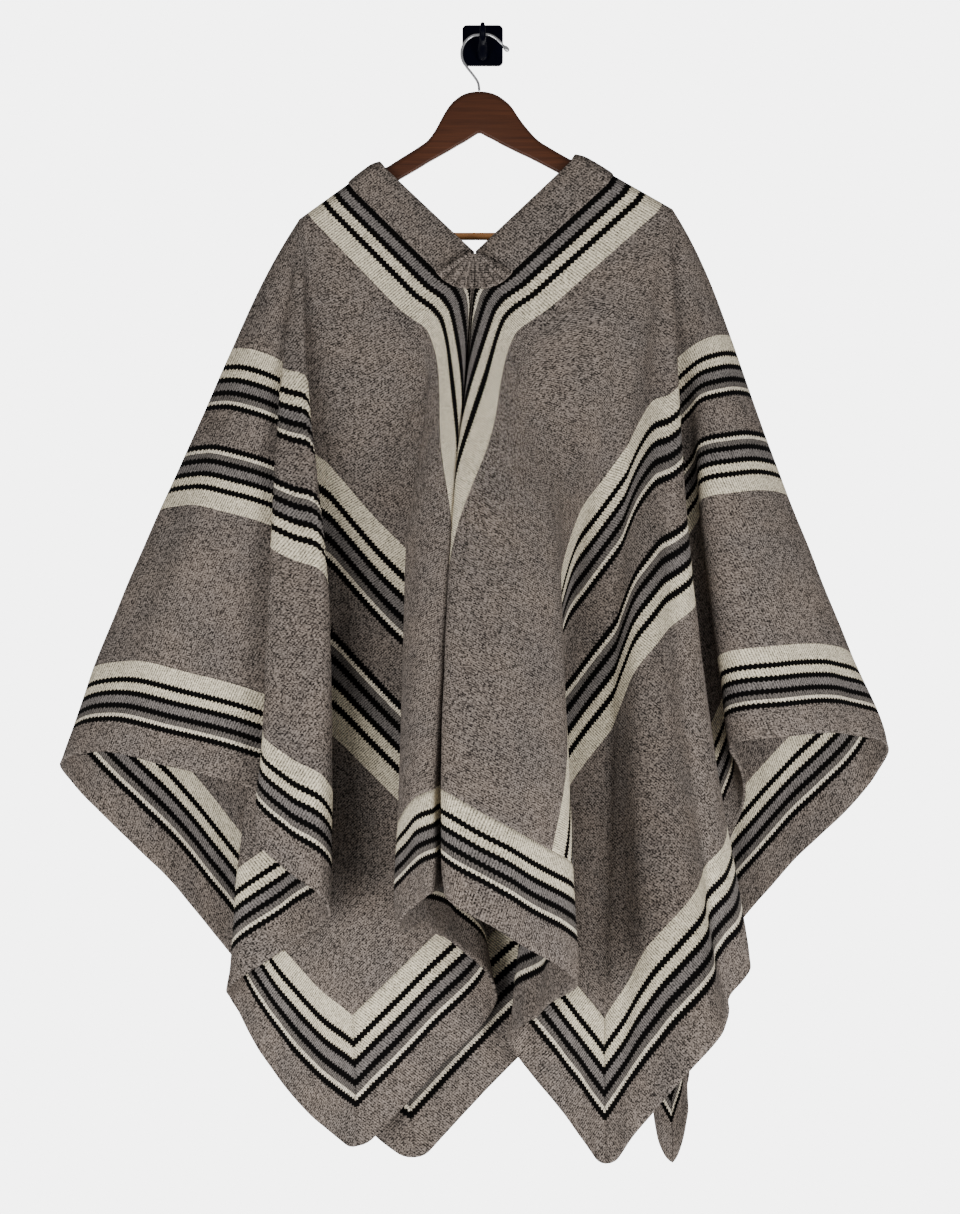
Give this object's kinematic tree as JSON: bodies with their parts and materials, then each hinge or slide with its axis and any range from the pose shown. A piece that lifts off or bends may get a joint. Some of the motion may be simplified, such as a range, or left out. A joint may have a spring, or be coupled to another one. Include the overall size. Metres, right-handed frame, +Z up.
{
  "type": "andean poncho on a hanger and wall hook",
  "caption": "Wide woven poncho with banded stripes and a V neck, hanging in soft folds from a wooden hanger on a wall hook.",
  "frame": {"origin": "centre of the wall hook plate's back face, on the wall", "axes": "+Y from the room into the wall, +Z up, +X to the right seen from the front"},
  "size_m": [1.0035, 0.314, 1.39],
  "materials": {
    "cloth": "matt woven wool, grey-brown with black, cream and grey stripes",
    "band": "matt ribbed wool band",
    "fan": "matt pleated striped wool",
    "dark_wood": "dark varnished",
    "bar_wood": "honey-brown varnish",
    "wire": "polished",
    "plate": "dark navy gloss"
  },
  "bodies": {
    "root": {"body_left": "cloth", "body_right": "cloth", "hem_front_left": "cloth", "hem_front_right": "cloth", "hem_back_left": "cloth", "hem_back_right": "cloth", "collar_left": "band", "collar_right": "band", "neck_fan": "fan", "hanger": "dark_wood", "trouser_bar": "bar_wood", "hanger_hook": "wire", "wall_hook": "plate"}
  },
  "joints": []
}
